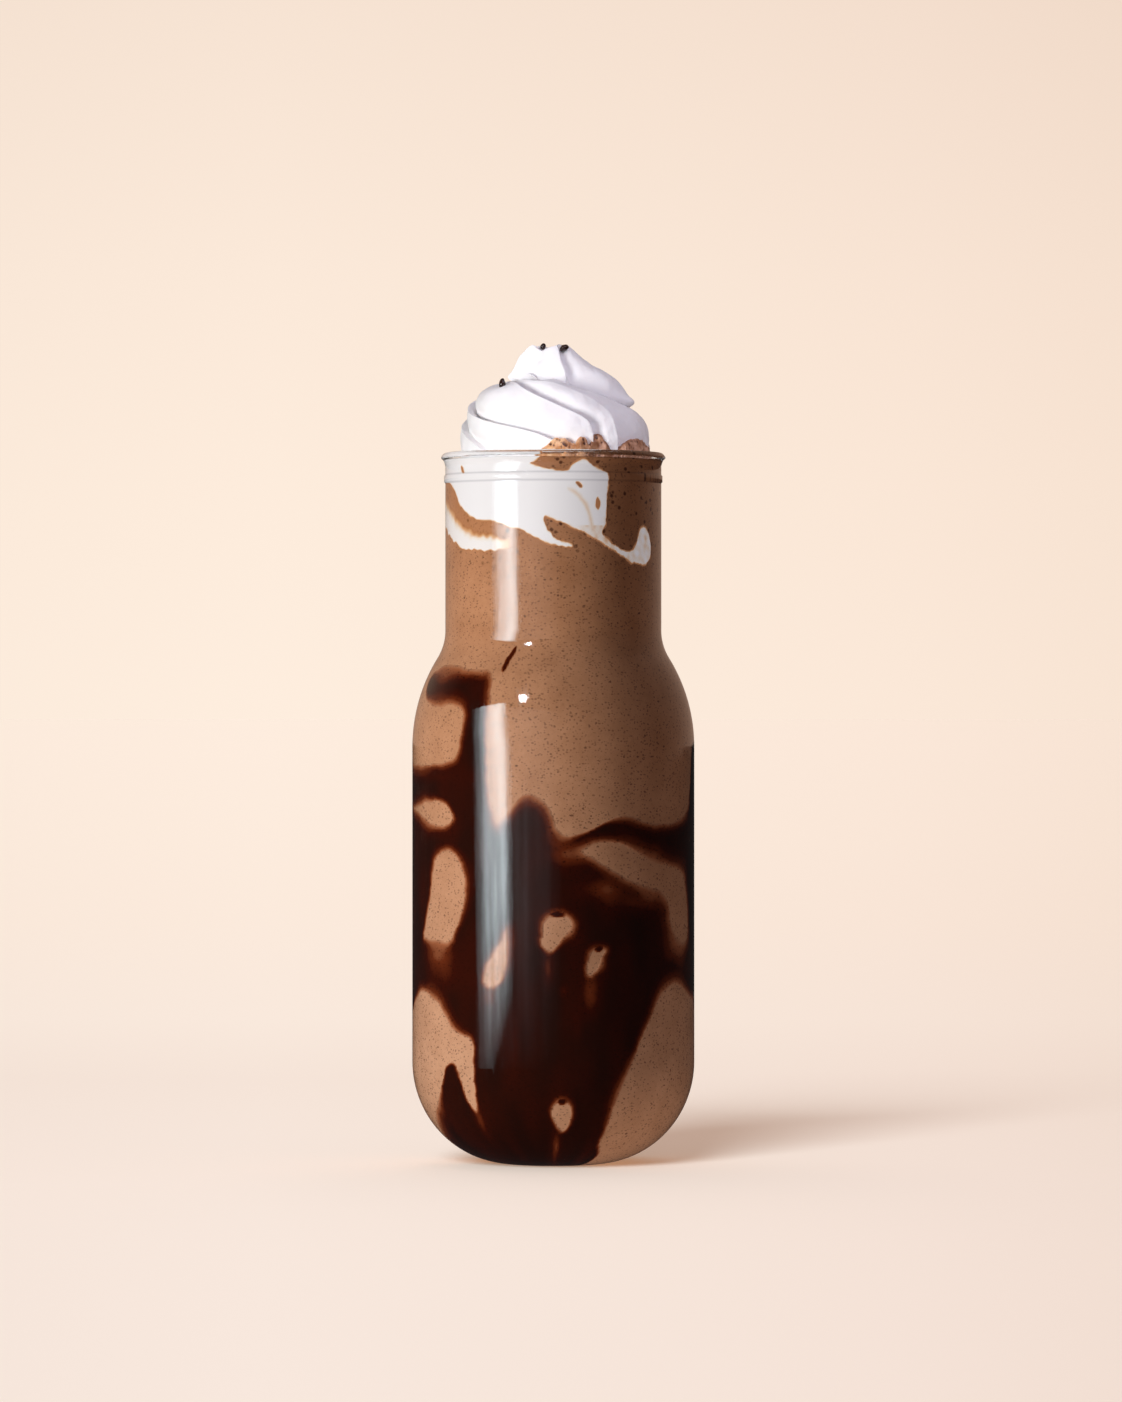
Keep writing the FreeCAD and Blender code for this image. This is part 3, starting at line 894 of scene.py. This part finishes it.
def make_tip():
    """The tip: a smaller turn that sits askew on the first, lower on its right side."""
    levels = np.linspace(-0.1, 1, 120)
    radii = flow_curve(tip_levels, tip_radii, levels)
    shifts = flow_curve(tip_levels, tip_shifts, levels)
    depths = flow_curve(tip_levels, tip_depths, levels)
    ridges = np.stack([flow_curve(tip_levels, ridge, levels) for _, ridge in tip_ridges], 1)
    slope = outwards(np.stack([radii, levels * tip_height], 1))
    rows = []
    for i, level in enumerate(levels):
        grooves = [min(groove, 0.44 * radii[i]) for groove, _ in tip_ridges]
        angles, proud = ribbed(ridges[i], radii[i], grooves, tip_valleys, 64)
        aside = np.degrees(angles) % 360 - 64
        tooth = 3 * np.exp(-(aside / 17) ** 2 - ((level - 0.06) / 0.15) ** 2)
        reach = radii[i] + proud * slope[i, 0] + tooth
        foot = tip_foot - tip_slant * np.sin(angles)
        height = foot + (cream_top - 0.2 - foot) * level + proud * slope[i, 1]
        rows.append(turned(reach, angles, height) * (1, depths[i], 1) + (shifts[i], 0, 0))
    top = rows[-1]
    middle = top.mean(0)
    for share in (0.12, 0.3, 0.55, 0.8):
        row = top + (middle - top) * share
        row[:, 2] -= 0.9 * share
        rows.append(row)
    points = uneven(np.vstack(rows), np.array([0, 0, 200]))
    points[:, 2] = np.minimum(points[:, 2], cream_top + 0.3)
    return close_ends(points, len(rows), len(top), 199, middle[2] - 0.9)


def make_swirl():
    material = make_cream_material()
    pieces = []
    for name, shape in (("cream_lower_turn", make_lower_turn), ("cream_tip", make_tip)):
        points, faces = shape()
        angle = np.degrees(np.arctan2(points[:, 0], -points[:, 1]))
        ragged = points[:, 2] + 0.6 * waves(points, 2.4, 51)
        first = ease(angle, 15, 20) * (1 - ease(angle, 30, 35)) * (1 - ease(ragged, 186, 190))
        second = ease(angle, 40, 50) * (1 - ease(angle, 84, 92)) * (1 - ease(ragged, 185, 188))
        pieces.append(make_piece(name, points, faces, material, "cream", "whipped_cream",
                                 {"stain": 0.5 * np.maximum(first, second)}))
    return pieces


# ---- Froth beside the cream ----
# Mounds of it: angle, half width in degrees, top, radius in mm, and tone from orange to brown
froth_mounds = [(4.5, 10, 188, 25, 0), (17.5, 5, 188.3, 25.2, 0.45),
                (27.5, 7.5, 189.3, 23.9, 0.6), (61, 17.5, 188.4, 24.9, 1)]
# Burst bubbles: angle, height and size in mm
froth_holes = [
    (6.3, 187, 0.62), (7.3, 186.6, 0.5), (-1.5, 186.8, 0.45), (4.6, 186, 0.3),
    (0.4, 186.4, 0.3), (17.6, 188, 0.4), (17.8, 187, 0.45), (21.6, 187.2, 0.5),
    (27, 188.6, 0.5), (30, 187.3, 0.35), (50, 187, 0.4), (58, 188, 0.4),
    (66, 187.4, 0.5), (74, 187, 0.4),
]


def make_froth():
    """A bubbly ridge of froth between the cream and the glass, at the front and the right."""
    first, last, middle_radius, lowest = -14, 92, 24.4, fill_level + 0.9
    angles = np.linspace(first, last, 260)
    share = np.linspace(0, 1, 72, endpoint=False)
    top = np.full(len(angles), lowest)
    radius = np.full(len(angles), middle_radius)
    tone = np.interp(angles, [m[0] for m in froth_mounds], [m[4] for m in froth_mounds])
    for middle, width, peak, reach, _ in froth_mounds:
        lump = np.exp(-np.abs((angles - middle) / width) ** 3.2)
        top = np.maximum(top, lowest + (peak - lowest) * lump)
        radius = radius + (reach - middle_radius) * lump
    ends = ease(angles, first, first + 7) * (1 - ease(angles, last - 8, last))
    rise = (top - fill_level) * ends + 0.05
    level = fill_level - 0.4
    turn = 2 * math.pi * share
    rows, middles = [], []
    for k, angle in enumerate(np.radians(angles)):
        reach = radius[k] + 1.5 * np.cos(turn) * (0.25 + 0.75 * ends[k])
        height = level + np.where(np.sin(turn) > 0, rise[k] + 0.4, 0.8) * np.sin(turn)
        rows.append(turned(reach, angle, height))
        middles.append(turned(radius[k], angle, level))
    points = np.vstack(rows)
    out = unit(points - np.repeat(middles, len(share), 0))
    lumps = 0.3 * waves(points, 3.6, 61) + 0.08 * waves(points, 1.2, 63)
    points = points + out * lumps[:, None]
    rng = np.random.default_rng(62)
    holes = [(*hole, 1) for hole in froth_holes]
    for _ in range(110):
        holes.append((rng.uniform(-10, 88), fill_level + rng.uniform(0, 5.5),
                      rng.uniform(0.12, 0.34), rng.uniform(0.2, 0.9)))
    angle = np.degrees(np.arctan2(points[:, 0], -points[:, 1]))
    pit_shade = np.zeros(len(points))
    # Each burst bubble is dented in, and its pit is darkened by painted shade
    for middle, height, size, dark in holes:
        gap = np.hypot(np.radians(angle - middle) * 25, points[:, 2] - height) / size
        dent = np.sqrt(np.clip(1 - gap * gap, 0, 1))
        points = points - out * (0.8 * size * dent)[:, None]
        pit_shade = np.maximum(pit_shade, dark * ease(dent, 0.1, 0.8))
    limit = inner_radius(np.clip(points[:, 2], 0, fill_level)) + drink_reach
    points[:, :2] *= np.minimum(1, limit / np.hypot(points[:, 0], points[:, 1]))[:, None]
    low, high = points[:len(share), 2].mean(), points[-len(share):, 2].mean()
    points, faces = close_ends(points, len(angles), len(share), low, high)
    fields = {"pit_shade": np.append(pit_shade, [0, 0]),
              "tone": np.append(np.repeat(tone, len(share)), tone[[0, -1]])}
    make_piece("froth", points, faces, make_froth_material(), "shake", None, fields)


# ---- Syrup drops on the cream ----
def make_drops(cream):
    """Drops of syrup where a line from the front meets the cream."""
    # How far across and up, half width and half height in mm, and tilt in degrees
    drops = [(-2.7, 213.1, 0.7, 0.9, -25), (2.8, 212.6, 1.2, 0.85, 20),
             (-13.2, 202.9, 0.85, 1.4, 0)]
    places = np.vstack([np.array([v.co for v in piece.data.vertices]) for piece in cream])
    places = places[places[:, 1] < 0] / MM
    rows, columns = 14, 22
    lift = np.linspace(-math.pi / 2, math.pi / 2, rows + 2)[1:-1, None]
    turn = np.linspace(0, 2 * math.pi, columns, endpoint=False)
    ball = np.stack([np.cos(lift) * np.cos(turn) * (1 - 0.14 * np.sin(lift)),
                     1.2 * np.cos(lift) * np.sin(turn),
                     np.sin(lift) * np.ones(columns)], -1).reshape(-1, 3)
    all_points, all_faces = [], []
    for number, (x, z, half_width, half_height, tilt) in enumerate(drops):
        gap = np.hypot(places[:, 0] - x, places[:, 2] - z)
        y = places[gap < gap.min() + 0.4, 1].min()
        cos, sin = math.cos(math.radians(tilt)), math.sin(math.radians(tilt))
        drop = ball * (half_width, half_width, half_height)
        drop = drop @ np.array([[cos, 0, sin], [0, 1, 0], [-sin, 0, cos]])
        drop += 0.06 * half_width * waves(drop + x, 1.4, 71)[:, None]
        drop += (x, y - 0.6 * half_width, z)
        low, high = drop[:columns, 2].mean(), drop[-columns:, 2].mean()
        points, faces = close_ends(drop, rows, columns, low, high)
        all_points.append(points)
        all_faces.append([group + number * len(points) for group in faces])
    faces = [np.vstack(groups) for groups in zip(*all_faces)]
    make_piece("syrup_drops", np.vstack(all_points), faces, make_drop_material(), "syrup")


# ---- Stage ----
def make_floor():
    """A pale floor that takes on the backdrop's colour far off, so that no edge shows."""
    mesh = bpy.data.meshes.new("floor")
    far = 40
    corners = [(-far, -far, 0), (far, -far, 0), (far, far, 0), (-far, far, 0)]
    mesh.from_pydata(corners, [], [(0, 1, 2, 3)])
    shader = new_shader("floor")
    place = shader.place()
    depth = shader.part(place, 1)
    along = shader.math("LOGARITHM", shader.math("ADD", depth, 1.7), 10)
    # Painted shade: the paper is darker in a band some 0.37 m behind the bottle, and darker
    # towards its right by side_fall
    paper = shader.ramp(shader.fade(along, -0.3, 1.4), [
        (0, (0.913, 0.78, 0.69)), (0.3, (0.913, 0.775, 0.683)),
        (0.362, (0.893, 0.75, 0.652)), (0.405, (0.925, 0.785, 0.68)),
        (0.5, (0.945, 0.795, 0.678)), (0.62, (0.955, 0.806, 0.686)),
        (0.9, (0.965, 0.815, 0.694)),
    ])
    sideways = shader.math("DIVIDE", shader.part(place, 0), shader.math("ADD", depth, 1.69))
    paper = shader.tint(paper, side_fall(shader, sideways))
    matt = shader.add("BsdfDiffuse", {"Color": paper})
    glow = shader.add("Emission", {"Color": shader.tint(paper, (0.27, 0.19, 0.12))})
    seen = shader.add("AddShader", {0: matt, 1: glow})
    distance = shader.add("VectorMath", {0: place}, output=1, operation="LENGTH")
    bounce = shader.mix(shader.fade(distance, 0.05, 0.3), (0.6, 0.47, 0.4),
                        (0.1, 0.08, 0.08))
    bounced = shader.add("Emission", {"Color": bounce})
    mirrored = shader.add("Emission", {"Color": (0.02, 0.02, 0.02, 1)})
    surface = shader.add("MixShader", {0: shader.ray("Diffuse"), 1: seen, 2: bounced})
    surface = shader.add("MixShader", {0: shader.ray("Glossy"), 1: surface, 2: mirrored})
    mesh.materials.append(shader.finish(surface))
    floor = add_object("floor", mesh)
    ground.objects.link(floor)


def side_fall(shader, sideways):
    """How the paper darkens towards its right side: painted shade."""
    return shader.ramp(shader.fade(sideways, -0.09, 0.09), [
        (0, (0.984, 0.982, 0.98)), (0.25, (1, 1, 1)), (0.6, (0.985, 0.972, 0.966)),
        (0.8, (0.972, 0.948, 0.94)), (1, (0.945, 0.912, 0.895)),
    ])


def make_world():
    """The backdrop for the camera, a bright backdrop and a dark room for reflections."""
    world = bpy.data.worlds.new("studio")
    bpy.context.scene.world = world
    shader = Shader(world)
    place = shader.add("TexCoord", output=0)
    rise = shader.part(place, 2)
    paper = shader.ramp(shader.fade(rise, 0, 0.11), [
        (0, (0.991, 0.85, 0.73)), (0.3, (0.985, 0.838, 0.716)),
        (0.6, (0.966, 0.815, 0.695)), (1, (0.925, 0.768, 0.65)),
    ])
    paper = shader.tint(paper, side_fall(shader, shader.part(place, 0)))
    behind = shader.fade(shader.part(place, 1), 0.15, 0.75)
    seen = shader.mix(behind, (0.012, 0.012, 0.014), (0.36, 0.24, 0.18))
    seen = shader.mix(shader.ray("Transmission"), seen, (0.9, 0.77, 0.67))
    fill = shader.mix(shader.fade(rise, 0, 0.9), (0.035, 0.03, 0.03), (0.26, 0.24, 0.27))
    light = shader.mix(shader.ray("Diffuse"), seen, fill)
    colour = shader.mix(shader.ray("Camera"), light, paper)
    shader.finish(shader.add("Background", {"Color": colour}), "World")


def add_light(name, place, aim, watts, colour, receivers, shape="SUN", **settings):
    """A lamp at an (angle from the front, distance, height), aimed at a height."""
    angle, distance, height = place
    light = bpy.data.lights.new(name, "SUN" if shape == "SUN" else "AREA")
    light.energy = watts
    light.color = colour
    if shape != "SUN":
        light.shape = shape
    for setting, value in settings.items():
        setattr(light, setting, value)
    lamp = add_object(name, light)
    lamp.location = turned(distance, math.radians(angle), height)
    lamp.rotation_mode = "QUATERNION"
    lamp.rotation_quaternion = (Vector((0, 0, aim)) - lamp.location).to_track_quat("-Z", "Y")
    lamp.visible_camera = False
    lamp.light_linking.receiver_collection = receivers
    return lamp


def make_lights():
    """A tall soft box at the front left, a small lamp above it, and lamps for each piece.

    Glass, drink, cream, syrup and floor each have their own, by light linking.
    """
    middle = 0.135
    box_place, halo_place = (-50, 0.345, middle), (-25, 0.345, middle)
    box_lean = math.radians(13)
    tall = {"shape": "RECTANGLE", "size_y": 0.27}
    glass = lit["glass"]
    box = add_light("soft_box", box_place, middle, 2.35, (0.83, 0.96, 1), glass, size=0.19,
                    **tall)
    box.rotation_quaternion = box.rotation_quaternion @ Quaternion((0, 0, 1), box_lean)
    shade_box(box.data, [(0, 0.02), (0.18, 0.2), (0.32, 0.55), (0.5, 0.66), (0.7, 1),
                         (0.82, 0.8), (0.97, 0.12)])
    halo = add_light("soft_box_halo", halo_place, middle, 0.2, (0.97, 0.97, 1), glass,
                     size=0.43, **tall)
    shade_box(halo.data, [(0, 0), (0.35, 1), (0.55, 1), (1, 0)])
    add_light("spark", (-27.6, 0.9, 0.67), 0.12, 1.7, (0.9, 0.93, 1), glass, "DISK",
              size=0.1)
    for slot in ("shake", "cream", "syrup"):
        add_light("box_on_" + slot, box_place, middle, 1.15, (1, 0.985, 0.96), lit[slot],
                  size=0.16, **tall)
    add_light("pressed_fill", (50, 0.75, 0.14), 0.17, 1.7, (0.97, 0.95, 1), lit["cream"],
              "DISK", size=0.3)
    add_light("cream_light", (-42, 0.75, 0.14), 0.2, 5.3, (1, 1, 0.99), topping, "DISK",
              size=0.28)
    add_light("cream_fill", (30, 0.6, 0.62), 0.2, 2.8, (0.95, 0.88, 1.04), topping, "DISK",
              size=0.7)
    add_light("floor_light", (-19, 1, 0.73), 0, 3.15, (0.71, 0.89, 1), ground,
              angle=math.radians(24))
    add_light("floor_rear_light", (192, 0.6, 1), 0, 0.5, (1, 1, 1), ground,
              angle=math.radians(60))


def shade_box(light, across):
    """Dims the lower end of a soft box, shades it from side to side, and streaks it."""
    shader = Shader(light)
    spot = shader.add("NewGeometry", output=5)
    rise = shader.part(spot, 1)
    glow = shader.levels(rise, [(0, 0), (0.06, 0.26), (0.2, 0.92), (0.34, 1)])
    side_glow = shader.levels(shader.part(spot, 0), across)
    tall = shader.add("Mapping", {"Vector": spot, "Scale": (15, 2.2, 1)})
    streak = shader.fade(shader.noise(tall, 1, 3), 0.36, 0.62, 0.55, 1.25)
    even = shader.fade(rise, 0.26, 0.42)
    streak = shader.add("Mix", {0: even, 2: streak, 3: 1}, data_type="FLOAT")
    strength = shader.times(shader.times(glow, side_glow), streak)
    shader.finish(shader.add("Emission", {"Strength": strength}), "Light")


def make_camera():
    """Level with the middle of the bottle, far off, with a long lens."""
    camera = bpy.data.cameras.new("camera")
    camera.lens = 166.2
    camera.sensor_width = 36
    camera.clip_start, camera.clip_end = 0.05, 100
    holder = add_object("camera", camera)
    holder.location = (0.002, -1.69, 0.1206)
    holder.rotation_euler = (math.pi / 2, 0, 0)
    bpy.context.scene.camera = holder


# ---- Everything together ----
# Groups of pieces that have lamps of their own
lit = {slot: bpy.data.collections.new("lit_" + slot)
       for slot in ("glass", "shake", "cream", "syrup")}
ground = bpy.data.collections.new("lit_by_the_floor_light")
topping = bpy.data.collections.new("lit_by_the_cream_lights")
make_camera()
make_glass()
make_drink()
make_syrup()
make_cream_on_glass()
swirl = make_swirl()
make_froth()
make_drops(swirl)
make_floor()
make_world()
make_lights()

scene = bpy.context.scene
scene.view_settings.view_transform = "Standard"
scene.cycles.caustics_reflective = False
scene.cycles.caustics_refractive = False
